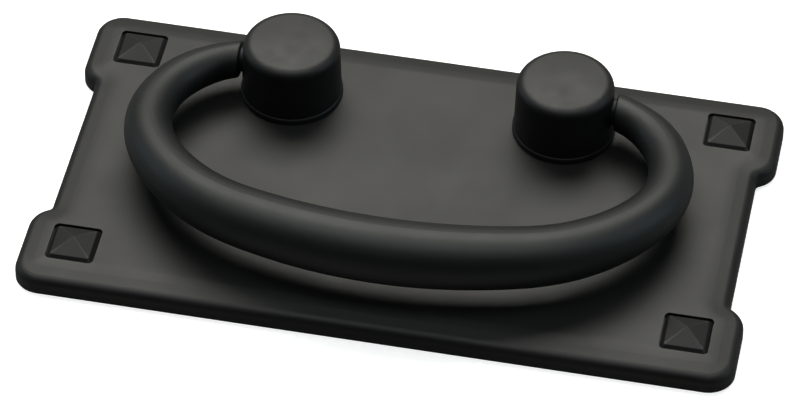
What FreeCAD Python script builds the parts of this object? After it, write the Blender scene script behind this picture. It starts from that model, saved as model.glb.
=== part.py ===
import FreeCAD, Part
import math
import os

# Swinging pull handle for a drawer or small door
# A cast plate with four corner tabs carries two round posts, and a tapered
# round bar bent to an oval hangs between them on two short pins.
# Millimetres. Z up out of the plate face, X along the plate, the posts to the
# back at +Y. The origin is the middle of the plate's back face.

# Sizes of the plate
plate_length = 97.0
plate_width = 53.3
plate_thickness = 3.1
corner_radius = 3.7
end_recess = 2.3
tab_length = 13.75
notch_radius = 0.8
bevel_width = 3.45
bevel_drop = 0.75
crease_radius = 9.0
shoulder_radius = 1.4

# Sizes of the hollow back
hollow_depth = 1.4
rim_width = 3.0
boss_diameter = 14.0

# Sizes of the four pyramid squares
square_from_end = 7.15
square_from_side = 7.2
square_size = 6.6
square_corner_radius = 0.7
groove_width = 0.65
groove_floor = 0.1
groove_depth = 0.5
brow_height = 0.15
brow_corner_radius = 0.3
brow_edge_radius = 0.2
pyramid_height = 1.4

# Sizes of the posts
post_spacing = 38.0
post_from_side = 11.15
post_height = 9.4
wall_foot_diameter = 13.8
wall_head_diameter = 13.3
crown_height = 0.35
head_edge_radius = 1.4
foot_diameter = 14.1
foot_height = 1.0
foot_edge_radius = 0.4

# Sizes of the fixing under each post
spigot_diameter = 7.0
spigot_clearance = 0.1
rivet_diameter = 9.6
rivet_recess_diameter = 10.2
rivet_recess_depth = 1.3
rivet_sunk = 0.2
screw_bore_diameter = 3.3
screw_bore_depth = 7.2
screw_mouth_chamfer = 0.45
drill_point_angle = 118.0

# Sizes of the bail
pivot_height = 4.65
rest_angle = 4.5
bail_reach = 35.4
front_arc_radius = 66.5
front_arc_angle = 16.8
corner_arc_radius = 25.0
corner_arc_angle = 59.2
bail_middle_diameter = 8.8
bail_end_diameter = 5.1
taper_power = 1.23
section_count = 12
end_overrun = 1.5
end_edge_radius = 0.3
post_gap = 0.35

# Sizes of the hinge pins
pin_diameter = 3.6
pin_clearance = 0.05
pin_bore_depth = 4.1
pin_end_gap = 0.3
pin_tip_chamfer = 0.3

# Places worked out from the sizes
half_length = plate_length / 2
half_width = plate_width / 2
recessed_half_length = half_length - end_recess
tab_start = half_width - tab_length
square_x = half_length - square_from_end
square_y = half_width - square_from_side
post_x = post_spacing / 2
post_y = half_width - post_from_side
pivot_z = plate_thickness + pivot_height
wall_foot_radius = wall_foot_diameter / 2
wall_head_radius = wall_head_diameter / 2
pivot_share = pivot_height / (post_height - crown_height)
post_radius_at_pivot = wall_foot_radius + (wall_head_radius - wall_foot_radius) * pivot_share
bail_end_x = post_x + post_radius_at_pivot + post_gap

up = FreeCAD.Vector(0, 0, 1)
along_x = FreeCAD.Vector(1, 0, 0)
margin = 1.0


def vec(x, y, z=0.0):
    return FreeCAD.Vector(x, y, z)


def polar(centre, radius, degrees):
    """Point on a circle, the angle counted from +X."""
    turn = math.radians(degrees)
    return centre + vec(radius * math.cos(turn), radius * math.sin(turn))


def corner_run(inset):
    """Points of one quarter of the outline, from the short side's middle to the long side's.

    Every arc keeps its centre at any inset, so two outlines match edge for edge.
    """
    tab_radius = corner_radius - inset
    hollow_radius = notch_radius + inset
    outer = vec(half_length - corner_radius, half_width - corner_radius)
    tab_x = half_length - corner_radius
    hollow_x = recessed_half_length + notch_radius
    span = corner_radius + notch_radius
    rise = math.sqrt(span ** 2 - (hollow_x - tab_x) ** 2)
    hollow = vec(hollow_x, tab_start - notch_radius)
    inner = vec(tab_x, hollow.y + rise)
    lean = math.degrees(math.atan2(hollow.y - inner.y, hollow.x - inner.x))
    return [
        ("line", vec(recessed_half_length - inset, 0), polar(hollow, hollow_radius, 180)),
        ("arc", polar(hollow, hollow_radius, 180), polar(hollow, hollow_radius, (180 + lean + 180) / 2),
         polar(hollow, hollow_radius, lean + 180)),
        ("arc", polar(inner, tab_radius, lean), polar(inner, tab_radius, lean / 2),
         polar(inner, tab_radius, 0)),
        ("line", polar(inner, tab_radius, 0), polar(outer, tab_radius, 0)),
        ("arc", polar(outer, tab_radius, 0), polar(outer, tab_radius, 45), polar(outer, tab_radius, 90)),
        ("line", polar(outer, tab_radius, 90), vec(0, half_width - inset)),
    ]


def mirrored(steps, sign_x, sign_y):
    """The quarter outline turned over, with its order kept so that the wire closes."""
    turned = []
    for step in steps:
        points = [vec(sign_x * p.x, sign_y * p.y) for p in step[1:]]
        turned.append([step[0]] + points)
    if sign_x * sign_y < 0:
        turned = [[step[0]] + step[:0:-1] for step in reversed(turned)]
    return turned


def plate_outline(inset, z):
    """Closed outline of the plate, moved inwards by the inset, at height z."""
    quarter = corner_run(inset)
    steps = []
    for sign_x, sign_y in ((1, 1), (-1, 1), (-1, -1), (1, -1)):
        steps += mirrored(quarter, sign_x, sign_y)
    lift = vec(0, 0, z)
    edges = []
    for step in steps:
        points = [p + lift for p in step[1:]]
        if step[0] == "line":
            edges.append(Part.makeLine(points[0], points[1]))
        else:
            edges.append(Part.Arc(points[0], points[1], points[2]).toShape())
    return Part.Wire(Part.__sortEdges__(edges))


def prism(wire, height):
    return Part.Face(wire).extrude(up * height)


def rounded_square(side, radius, z):
    """Square with rounded corners about the Z axis, at height z."""
    half = side / 2
    flat = half - radius
    corner = vec(flat, flat, z)
    edges = []
    for quarter in range(4):
        run = [vec(half, -flat, z)] + [polar(corner, radius, angle) for angle in (0, 45, 90)]
        start, first, middle, last = [FreeCAD.Rotation(up, 90 * quarter).multVec(p) for p in run]
        edges.append(Part.makeLine(start, first))
        edges.append(Part.Arc(first, middle, last).toShape())
    return Part.Wire(edges)


def square_centres():
    return [vec(sx * square_x, sy * square_y) for sx in (-1, 1) for sy in (-1, 1)]


def post_centres():
    return [vec(side * post_x, post_y) for side in (-1, 1)]


def pyramid():
    """Flank sloping up out of the groove, then four faces rising to a point over a soft brow."""
    floor_size = square_size - 2 * groove_floor
    brow_size = square_size - 2 * groove_width
    floor = rounded_square(floor_size, square_corner_radius - groove_floor, -groove_depth)
    brow = rounded_square(brow_size, brow_corner_radius, brow_height)
    apex = Part.Vertex(vec(0, 0, pyramid_height))
    flank = Part.makeLoft([floor, brow], True, True)
    solid = flank.fuse(Part.makeLoft([brow, apex], True, True)).removeSplitter()
    ring = [e for e in solid.Edges if is_level(e, brow_height)]
    return solid.makeFillet(brow_edge_radius, ring)


def plate_body():
    """Straight wall, rounded shoulder and shallow bevel that eases into the flat face."""
    low = plate_thickness - bevel_drop
    block = prism(plate_outline(0, 0), low)
    cap = Part.makeLoft([plate_outline(0, low), plate_outline(bevel_width, plate_thickness)], True, True)
    body = block.fuse(cap).removeSplitter()
    shoulder = [e for e in body.Edges if is_level(e, low)]
    body = body.makeFillet(shoulder_radius, shoulder)
    crease = [e for e in body.Edges if is_level(e, plate_thickness)]
    return body.makeFillet(crease_radius, crease)


def is_level(edge, z):
    box = edge.BoundBox
    return abs(box.ZMin - z) < 1e-4 and abs(box.ZMax - z) < 1e-4


def back_hollow():
    """Shallow pocket in the back, with a round boss left standing at each post."""
    pocket = prism(plate_outline(rim_width, -margin), hollow_depth + margin)
    for centre in post_centres():
        boss = Part.makeCylinder(boss_diameter / 2, hollow_depth + 2 * margin, centre - up * margin)
        pocket = pocket.cut(boss)
    return pocket


def backplate():
    body = plate_body().cut(back_hollow())
    socket_floor = rounded_square(square_size, square_corner_radius, -groove_depth)
    socket = prism(socket_floor, groove_depth + margin)
    for centre in square_centres():
        place = centre + up * plate_thickness
        body = body.cut(socket.translated(place)).fuse(pyramid().translated(place))
    hole_radius = spigot_diameter / 2 + spigot_clearance
    for centre in post_centres():
        start = centre - up * margin
        hole = Part.makeCylinder(hole_radius, plate_thickness + 2 * margin, start)
        seat = Part.makeCylinder(rivet_recess_diameter / 2, rivet_recess_depth + margin, start)
        body = body.cut(hole).cut(seat)
    return body.removeSplitter()


def turned(points):
    """Solid of revolution about Z from (radius, height) points that start and end on the axis."""
    wire = Part.makePolygon([vec(r, 0, z) for r, z in points + points[:1]])
    return Part.Face(wire).revolve(vec(0, 0), up, 360)


def post_shell():
    """Tapered wall under a lightly crowned head, about the Z axis with the plate face at zero."""
    foot = vec(wall_foot_radius, 0)
    rim = vec(wall_head_radius, 0, post_height - crown_height)
    crown_radius = (wall_head_radius ** 2 + crown_height ** 2) / (2 * crown_height)
    crown_centre = vec(0, 0, post_height - crown_radius)
    rise = (rim - foot).normalize()
    inward = vec(-rise.z, 0, rise.x)
    base = foot + inward * head_edge_radius - crown_centre
    along = base.dot(rise)
    reach = math.sqrt(along ** 2 - base.dot(base) + (crown_radius - head_edge_radius) ** 2) - along
    centre = crown_centre + base + rise * reach
    outward = (centre - crown_centre).normalize()
    wall_end = centre - inward * head_edge_radius
    crown_start = centre + outward * head_edge_radius
    middle = centre + (outward - inward).normalize() * head_edge_radius
    top = vec(0, 0, post_height)
    halfway = crown_centre + (outward + up).normalize() * crown_radius
    edges = [
        Part.makeLine(vec(0, 0), foot),
        Part.makeLine(foot, wall_end),
        Part.Arc(wall_end, middle, crown_start).toShape(),
        Part.Arc(crown_start, halfway, top).toShape(),
        Part.makeLine(top, vec(0, 0)),
    ]
    return Part.Face(Part.Wire(edges)).revolve(vec(0, 0), up, 360)


def post_foot():
    """Low collar that seats on the plate."""
    collar = Part.makeCylinder(foot_diameter / 2, foot_height)
    rim = [e for e in collar.Edges if is_level(e, foot_height)]
    return collar.makeFillet(foot_edge_radius, rim)


def rivet_stem():
    """Spigot through the plate, its end spread into a flat head in the recess of the back."""
    spigot = spigot_diameter / 2
    head = rivet_diameter / 2
    low = rivet_sunk - plate_thickness
    seat = rivet_recess_depth - plate_thickness
    profile = [(0, low), (head, low), (head, seat), (spigot, seat), (spigot, margin), (0, margin)]
    return turned(profile)


def screw_bore():
    """Tapped blind bore for the fixing screw, with a drilled point and a broken mouth."""
    radius = screw_bore_diameter / 2
    low = rivet_sunk - plate_thickness
    mouth = radius + screw_mouth_chamfer
    end = low + screw_bore_depth
    tip = end + radius / math.tan(math.radians(drill_point_angle / 2))
    profile = [(0, low - margin), (mouth, low - margin), (mouth, low),
               (radius, low + screw_mouth_chamfer), (radius, end), (0, tip)]
    return turned(profile)


def pin_bore(side):
    """Blind cross bore for the hinge pin, open on the outer side of the post."""
    depth = pin_bore_depth + margin
    start = post_radius_at_pivot - pin_bore_depth
    return Part.makeCylinder(pin_diameter / 2 + pin_clearance, depth, vec(side * start, 0, pivot_height),
                             vec(side, 0, 0))


def post(side):
    solid = post_shell().fuse(post_foot()).fuse(rivet_stem())
    solid = solid.cut(screw_bore()).cut(pin_bore(side)).removeSplitter()
    solid.translate(vec(side * post_x, post_y, plate_thickness))
    return solid


def centreline():
    """Three tangent arcs of one half of the bail, from the middle out to the pin.

    The bail lies flat here: x along the plate, y away from the pins. The last radius is
    worked out so that the third arc ends on the pin axis.
    """
    front_centre = vec(0, bail_reach - front_arc_radius)
    first = polar(front_centre, front_arc_radius, 90 - front_arc_angle)
    corner_centre = polar(first, corner_arc_radius, 270 - front_arc_angle)
    second = polar(corner_centre, corner_arc_radius, 90 - corner_arc_angle)
    end = vec(bail_end_x, 0)
    inward = polar(vec(0, 0), 1.0, 270 - corner_arc_angle)
    chord = end - second
    end_radius = chord.dot(chord) / (2 * inward.dot(chord))
    end_centre = second + inward * end_radius
    last = math.degrees(math.atan2(end.y - end_centre.y, end.x - end_centre.x))
    return [
        (front_centre, front_arc_radius, 90, 90 - front_arc_angle),
        (corner_centre, corner_arc_radius, 90 - front_arc_angle, 90 - corner_arc_angle),
        (end_centre, end_radius, 90 - corner_arc_angle, last),
    ]


def stations():
    """Evenly spaced places along half of the centreline: point, heading and share of the way."""
    arcs = centreline()
    lengths = [radius * math.radians(start - stop) for _, radius, start, stop in arcs]
    total = sum(lengths)
    places = []
    for index in range(section_count + 1):
        left = total * index / section_count
        chosen = 0
        while chosen < len(arcs) - 1 and left > lengths[chosen]:
            left -= lengths[chosen]
            chosen += 1
        centre, radius, start, _ = arcs[chosen]
        angle = start - math.degrees(left / radius)
        heading = polar(vec(0, 0), 1.0, angle - 90)
        places.append((polar(centre, radius, angle), heading, index / section_count))
    return places


def bar_radius(share):
    """Radius of the bar, full in the middle and smallest at the pins."""
    fullness = math.sin(math.pi / 2 * (1 - share) ** taper_power)
    return (bail_end_diameter + (bail_middle_diameter - bail_end_diameter) * fullness) / 2


def bar_section(point, heading, radius):
    """Round section square to the bar, its seam kept on the upper side."""
    circle = Part.Circle(point, heading, radius)
    wire = Part.Wire([circle.toShape()])
    start = wire.Vertexes[0].Point - point
    turn = math.degrees(math.atan2(heading.dot(start.cross(up)), start.dot(up)))
    wire.rotate(point, heading, turn)
    return wire


def bail_bar():
    """The bar lofted through round sections, run on past the pins and cut off square."""
    half = stations()
    point, heading, share = half[-1]
    half.append((point + heading * end_overrun, heading, share))
    run = [(vec(-p.x, p.y), vec(h.x, -h.y), share) for p, h, share in reversed(half[1:])] + half
    sections = [bar_section(p, h, bar_radius(share)) for p, h, share in run]
    bar = Part.makeLoft(sections, True)
    reach = bail_middle_diameter
    window = Part.makeBox(2 * bail_end_x, 2 * reach, 2 * reach, vec(-bail_end_x, -reach, -reach))
    bar = bar.cut(window)
    ends = [e for e in bar.Edges if abs(e.BoundBox.XLength) < 1e-4 and e.BoundBox.YMax < reach]
    return bar.makeFillet(end_edge_radius, ends)


def hinge_pin(side):
    """Pin standing on the end face, pointing in towards the post."""
    length = post_gap + pin_bore_depth - pin_end_gap
    pin = Part.makeCylinder(pin_diameter / 2, length + margin, vec(side * (bail_end_x + margin), 0),
                            vec(-side, 0, 0))
    tip_x = side * (bail_end_x - length)
    tip = [e for e in pin.Edges if abs(e.CenterOfMass.x - tip_x) < 1e-4]
    return pin.makeChamfer(pin_tip_chamfer, tip)


def bail():
    solid = bail_bar()
    for side in (-1, 1):
        solid = solid.fuse(hinge_pin(side))
    solid = solid.removeSplitter()
    solid.rotate(vec(0, 0), up, 180)
    solid.rotate(vec(0, 0), along_x, -rest_angle)
    solid.translate(vec(0, post_y, pivot_z))
    return solid


os.makedirs("parts", exist_ok=True)
nodes = {
    "backplate": backplate(),
    "left_post": post(-1),
    "right_post": post(1),
    "bail": bail(),
}
for name, shape in nodes.items():
    solid = shape.Solids[0]
    solid.exportStep("parts/" + name + ".step")
    print(name, len(shape.Solids), solid.isValid(), round(solid.Volume, 1), solid.BoundBox)
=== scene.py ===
import math
import bpy
from mathutils import Matrix, Vector

# A swinging pull handle in matte black powder coat, lying on its back on a pale ground.
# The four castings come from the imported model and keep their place. This script gives
# them their finish, then sets up the ground, the soft lights and the camera.

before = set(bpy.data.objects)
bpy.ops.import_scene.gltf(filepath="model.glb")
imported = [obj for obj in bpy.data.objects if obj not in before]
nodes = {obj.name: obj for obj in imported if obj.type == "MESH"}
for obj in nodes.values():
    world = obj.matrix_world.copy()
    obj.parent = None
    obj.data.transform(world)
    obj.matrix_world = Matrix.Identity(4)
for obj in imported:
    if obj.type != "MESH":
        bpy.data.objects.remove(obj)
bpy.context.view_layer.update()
mm = 0.001
print("Stage 1: packed model loaded with", ", ".join(sorted(nodes)))


def hexToLinear(text):
    values = []
    for start in (1, 3, 5):
        c = int(text[start:start + 2], 16) / 255
        values.append(c / 12.92 if c <= 0.04045 else ((c + 0.055) / 1.055) ** 2.4)
    return (*values, 1.0)


# Adds one node: sockets hold a value or a socket to link from, settings are the node's own
def addNode(tree, kind, sockets=None, **settings):
    node = tree.nodes.new(kind)
    for key, value in settings.items():
        setattr(node, key, value)
    for name, value in (sockets or {}).items():
        if isinstance(value, bpy.types.NodeSocket):
            tree.links.new(value, node.inputs[name])
        else:
            node.inputs[name].default_value = value
    return node


def newMaterial(name):
    material = bpy.data.materials.new(name)
    material.use_nodes = True
    material.node_tree.nodes.clear()
    return material, material.node_tree


def dress(node, material):
    for place in node.material_slots:
        place.material = material


# Powder coat: pigmented polyester baked on the zinc. It flows out to a faint orange peel,
# and fine grit in it breaks the shine into a wide soft sheen. Clouds are where the film is
# a little thicker and smoother, or thinner and duller. Widths and heights in millimetres.
plateCoat = {
    "colour": "#0e0e0d",
    "paleColour": "#131312",
    "roughness": 0.53,
    "roughnessSpread": 0.08,
    "ior": 1.5,
    "specular": 0.45,
    "sheenColour": "#ffffff",
    "peelWidth": 0.9,
    "peelHeight": 0.004,
    "peelDetail": 2.0,
    "peelBreakup": 0.5,
    "gritWidth": 0.16,
    "gritHeight": 0.0016,
    "gritDetail": 2.0,
    "gritBreakup": 0.6,
    "cloudWidth": 9.0,
    "cloudDetail": 4.0,
    "cloudBreakup": 0.6,
    "cloudRange": (0.25, 0.75),
}
# The posts' tops are faintly mottled, and the bail is a trace cooler than the plate
postCoat = dict(plateCoat, roughnessSpread=0.11, cloudWidth=2.2, peelWidth=0.7)
bailCoat = dict(plateCoat, colour="#0c0e0e", paleColour="#111313", sheenColour="#f9fdfb",
                specular=0.50, peelWidth=1.1)

# Thread tapped after coating, so bare zinc shows in the two screw bores. Millimetres: the
# middle of the right bore, how far the bare zinc reaches from it, and the bore's top.
screwThread = {
    "colour": "#a9a8a3",
    "roughness": 0.32,
    "pitch": 0.7,
    "depth": 0.25,
    "middle": (19.0, 15.5),
    "reach": 1.75,
    "top": 10.5,
}


def tappedZinc(tree, place, coat):
    middleX, middleY = screwThread["middle"]
    axes = addNode(tree, "ShaderNodeSeparateXYZ", {"Vector": place})
    side = addNode(tree, "ShaderNodeMath", {0: axes.outputs["X"]}, operation="ABSOLUTE")
    across = addNode(tree, "ShaderNodeMath", {
        0: side.outputs["Value"], 1: middleX * mm}, operation="SUBTRACT")
    along = addNode(tree, "ShaderNodeMath", {
        0: axes.outputs["Y"], 1: middleY * mm}, operation="SUBTRACT")
    arm = addNode(tree, "ShaderNodeCombineXYZ", {
        "X": across.outputs["Value"], "Y": along.outputs["Value"]})
    reach = addNode(tree, "ShaderNodeVectorMath", {0: arm.outputs["Vector"]}, operation="LENGTH")
    near = addNode(tree, "ShaderNodeMath", {
        0: reach.outputs["Value"], 1: screwThread["reach"] * mm}, operation="LESS_THAN")
    low = addNode(tree, "ShaderNodeMath", {
        0: axes.outputs["Z"], 1: screwThread["top"] * mm}, operation="LESS_THAN")
    inside = addNode(tree, "ShaderNodeMath", {
        0: near.outputs["Value"], 1: low.outputs["Value"]}, operation="MULTIPLY")
    # The height climbs one pitch per turn, and folded back and forth it makes the ridge
    angle = addNode(tree, "ShaderNodeMath", {
        0: along.outputs["Value"], 1: across.outputs["Value"]}, operation="ARCTAN2")
    turn = addNode(tree, "ShaderNodeMath", {
        0: angle.outputs["Value"], 1: 2 * math.pi}, operation="DIVIDE")
    climb = addNode(tree, "ShaderNodeMath", {
        0: axes.outputs["Z"], 1: 1 / (screwThread["pitch"] * mm), 2: turn.outputs["Value"]},
        operation="MULTIPLY_ADD")
    halfTurn = 0.5
    ridge = addNode(tree, "ShaderNodeMath", {
        0: climb.outputs["Value"], 1: halfTurn}, operation="PINGPONG")
    relief = addNode(tree, "ShaderNodeBump", {
        "Height": ridge.outputs["Value"], "Distance": screwThread["depth"] * mm / halfTurn})
    zinc = addNode(tree, "ShaderNodeBsdfPrincipled", {
        "Base Color": hexToLinear(screwThread["colour"]), "Metallic": 1.0,
        "Roughness": screwThread["roughness"], "Normal": relief.outputs["Normal"]})
    both = addNode(tree, "ShaderNodeMixShader", {
        "Fac": inside.outputs["Value"], 1: coat, 2: zinc.outputs["BSDF"]})
    return both.outputs["Shader"]


def powderCoat(name, look, extra=None):
    material, tree = newMaterial(name)
    place = addNode(tree, "ShaderNodeTexCoord").outputs["Object"]
    clouds = addNode(tree, "ShaderNodeTexNoise", {
        "Vector": place, "Scale": 1 / (look["cloudWidth"] * mm),
        "Detail": look["cloudDetail"], "Roughness": look["cloudBreakup"]})
    peel = addNode(tree, "ShaderNodeTexNoise", {
        "Vector": place, "Scale": 1 / (look["peelWidth"] * mm),
        "Detail": look["peelDetail"], "Roughness": look["peelBreakup"]})
    grit = addNode(tree, "ShaderNodeTexNoise", {
        "Vector": place, "Scale": 1 / (look["gritWidth"] * mm),
        "Detail": look["gritDetail"], "Roughness": look["gritBreakup"]})
    colour = addNode(tree, "ShaderNodeMix", {
        "Factor": clouds.outputs["Fac"], "A": hexToLinear(look["colour"]),
        "B": hexToLinear(look["paleColour"])}, data_type="RGBA")
    thick, thin = look["cloudRange"]
    shine = addNode(tree, "ShaderNodeMapRange", {
        "Value": clouds.outputs["Fac"], "From Min": thick, "From Max": thin,
        "To Min": look["roughness"] - look["roughnessSpread"] / 2,
        "To Max": look["roughness"] + look["roughnessSpread"] / 2})
    wide = addNode(tree, "ShaderNodeBump", {
        "Height": peel.outputs["Fac"], "Distance": look["peelHeight"] * mm})
    fine = addNode(tree, "ShaderNodeBump", {
        "Height": grit.outputs["Fac"], "Distance": look["gritHeight"] * mm,
        "Normal": wide.outputs["Normal"]})
    coat = addNode(tree, "ShaderNodeBsdfPrincipled", {
        "Base Color": colour.outputs["Result"], "Roughness": shine.outputs["Result"],
        "IOR": look["ior"], "Specular IOR Level": look["specular"],
        "Specular Tint": hexToLinear(look["sheenColour"]), "Normal": fine.outputs["Normal"]})
    surface = coat.outputs["BSDF"]
    if extra:
        surface = extra(tree, place, surface)
    addNode(tree, "ShaderNodeOutputMaterial", {"Surface": surface})
    return material


plateFinish = powderCoat("blackPowderCoatPlate", plateCoat)
postFinish = powderCoat("blackPowderCoatPosts", postCoat, tappedZinc)
bailFinish = powderCoat("blackPowderCoatBail", bailCoat)
dress(nodes["backplate"], plateFinish)
dress(nodes["left_post"], postFinish)
dress(nodes["right_post"], postFinish)
dress(nodes["bail"], bailFinish)
for node in nodes.values():
    node.data.shade_smooth()
print("Stage 2: castings coated")


# How much of the white paper a ray meets: all of it straight from the camera or through
# glass, and the given share of it in a surface's sheen.
def paperSeen(tree, share):
    path = addNode(tree, "ShaderNodeLightPath")
    direct = addNode(tree, "ShaderNodeMath", {
        0: path.outputs["Is Camera Ray"], 1: path.outputs["Is Transmission Ray"]},
        operation="MAXIMUM")
    shine = addNode(tree, "ShaderNodeMath", {
        0: path.outputs["Is Glossy Ray"], 1: share}, operation="MULTIPLY")
    seen = addNode(tree, "ShaderNodeMath", {
        0: direct.outputs["Value"], 1: shine.outputs["Value"]}, operation="MAXIMUM")
    return seen.outputs["Value"]


# Pale ground. The camera sees it white with the handle's soft shadow on it. In the coat's
# sheen it is a painted reflection: a dim glow that fades to dark beyond a set reach in front.
ground = {
    "colour": "#f4f4f2",
    "bounceColour": "#545452",
    "glow": 0.6,
    "halfSize": 1.2,
    "gap": 0.02,
    # Painted reflection in the sheen: full share out to the reach in front, none past the fade;
    # millimetres
    "sheenGlowReach": 55.0,
    "sheenGlowFade": 40.0,
    "sheenGlowShare": 0.1,
}


def makeGround():
    half = ground["halfSize"]
    # A hair below the plate's back, so that the two faces don't share one plane
    low = -ground["gap"] * mm
    mesh = bpy.data.meshes.new("paleGround")
    corners = [(-half, -half, low), (half, -half, low), (half, half, low), (-half, half, low)]
    mesh.from_pydata(corners, [], [(0, 1, 2, 3)])
    floor = bpy.data.objects.new("paleGround", mesh)
    bpy.context.collection.objects.link(floor)
    material, tree = newMaterial("paleSeamlessPaper")
    place = addNode(tree, "ShaderNodeTexCoord").outputs["Object"]
    far = addNode(tree, "ShaderNodeSeparateXYZ", {"Vector": place})
    # Painted reflection: the share of the paper's glow and pale colour that the coat's sheen shows,
    # fading to none far in front
    sheenGlow = addNode(tree, "ShaderNodeMapRange", {
        "Value": far.outputs["Y"], "From Min": -(ground["sheenGlowReach"] + ground["sheenGlowFade"]) * mm,
        "From Max": -ground["sheenGlowReach"] * mm, "To Min": 0.0, "To Max": ground["sheenGlowShare"]})
    seen = paperSeen(tree, sheenGlow.outputs["Result"])
    colour = addNode(tree, "ShaderNodeMix", {
        "Factor": seen, "A": hexToLinear(ground["bounceColour"]),
        "B": hexToLinear(ground["colour"])}, data_type="RGBA")
    paper = addNode(tree, "ShaderNodeBsdfDiffuse", {"Color": colour.outputs["Result"]})
    # The glow is the white backdrop for the camera, and a painted reflection in the coat's sheen
    glow = addNode(tree, "ShaderNodeMath", {0: seen, 1: ground["glow"]}, operation="MULTIPLY")
    light = addNode(tree, "ShaderNodeEmission", {"Strength": glow.outputs["Value"]})
    both = addNode(tree, "ShaderNodeAddShader", {
        0: paper.outputs["BSDF"], 1: light.outputs["Emission"]})
    addNode(tree, "ShaderNodeOutputMaterial", {"Surface": both.outputs["Shader"]})
    mesh.materials.append(material)


# A soft box behind and above gives the faces their sheen and throws the shadow; a dim one
# overhead carries the sheen forward over the bar, and two small cards catch its ends.
softBoxes = {
    "backBox": {"towards": (-0.18, 0.64, 1.0), "distance": 1.5, "size": (1.45, 0.8), "power": 23.3,
                "colour": "#fffdf6"},
    "topBox": {"towards": (0.0, -0.18, 1.0), "distance": 1.5, "size": (1.8, 0.6), "power": 7.5,
               "colour": "#fbfdff"},
    "leftCard": {"towards": (-1.0, 0.1, 0.35), "distance": 1.0, "size": (0.5, 0.5), "power": 1.1,
                 "colour": "#cfe4f2"},
    "rightCard": {"towards": (1.0, 0.1, 0.5), "distance": 1.0, "size": (0.5, 0.5), "power": 1.6,
                  "colour": "#cfe4f2"},
}


def makeSoftBox(name, box):
    lamp = bpy.data.lights.new(name, "AREA")
    lamp.shape = "RECTANGLE"
    lamp.size, lamp.size_y = box["size"]
    lamp.energy = box["power"]
    lamp.color = hexToLinear(box["colour"])[:3]
    holder = bpy.data.objects.new(name, lamp)
    towards = Vector(box["towards"]).normalized()
    holder.location = towards * box["distance"]
    holder.rotation_euler = towards.to_track_quat("Z", "Y").to_euler()
    bpy.context.collection.objects.link(holder)


# A nearly dark room with white paper round it. The camera sees the paper; the coat's sheen
# shows a small share of it, and only behind the handle.
surroundings = {
    "colour": "#c9d2d6",
    "strength": 0.004,
    "paperFrom": 0.15,
    "paperFull": 0.5,
    "paperShare": 0.08,
}


def makeWorld():
    world = bpy.data.worlds.new("studio")
    world.use_nodes = True
    tree = world.node_tree
    tree.nodes.clear()
    heading = addNode(tree, "ShaderNodeTexCoord").outputs["Generated"]
    axes = addNode(tree, "ShaderNodeSeparateXYZ", {"Vector": heading})
    behind = addNode(tree, "ShaderNodeMapRange", {
        "Value": axes.outputs["Y"], "From Min": surroundings["paperFrom"],
        "From Max": surroundings["paperFull"], "To Min": 0.0, "To Max": surroundings["paperShare"]})
    seen = paperSeen(tree, behind.outputs["Result"])
    dim = addNode(tree, "ShaderNodeBackground", {
        "Color": hexToLinear(surroundings["colour"]), "Strength": surroundings["strength"]})
    white = addNode(tree, "ShaderNodeBackground", {
        "Color": hexToLinear("#ffffff"), "Strength": 1.0})
    both = addNode(tree, "ShaderNodeMixShader", {
        "Fac": seen, 1: dim.outputs["Background"], 2: white.outputs["Background"]})
    addNode(tree, "ShaderNodeOutputWorld", {"Surface": both.outputs["Shader"]})
    bpy.context.scene.world = world


makeGround()
for name, box in softBoxes.items():
    makeSoftBox(name, box)
makeWorld()
print("Stage 3: ground and lights set")

# Long lens from the front right, looking down on the plate. Angles are in degrees and
# lengths in millimetres.
viewpoint = {
    "azimuth": 10.53,
    "elevation": 44.71,
    "roll": 0.79,
    "distance": 651.1,
    "aside": -0.77,
    "above": -2.44,
    "plateFace": 3.1,
    "lens": 216.7,
    "sensor": 36.0,
    "nearest": 10.0,
}


def makeCamera():
    turn = math.radians(viewpoint["azimuth"])
    rise = math.radians(viewpoint["elevation"])
    back = Vector((math.sin(turn) * math.cos(rise), -math.cos(turn) * math.cos(rise), math.sin(rise)))
    right = Vector((0, 0, 1)).cross(back).normalized()
    up = back.cross(right)
    lean = Matrix.Rotation(math.radians(viewpoint["roll"]), 3, "Z")
    turned = Matrix((right, up, back)).transposed() @ lean
    offset = Vector((viewpoint["aside"], viewpoint["above"], viewpoint["distance"]))
    spot = turned @ offset + Vector((0, 0, viewpoint["plateFace"]))
    camera = bpy.data.cameras.new("photoCamera")
    camera.lens = viewpoint["lens"]
    camera.sensor_width = viewpoint["sensor"]
    camera.clip_start = viewpoint["nearest"] * mm
    holder = bpy.data.objects.new("photoCamera", camera)
    holder.matrix_world = Matrix.Translation(spot * mm) @ turned.to_4x4()
    bpy.context.collection.objects.link(holder)
    bpy.context.scene.camera = holder


makeCamera()
bpy.context.scene.view_settings.view_transform = "Standard"
print("Stage 4: camera placed")
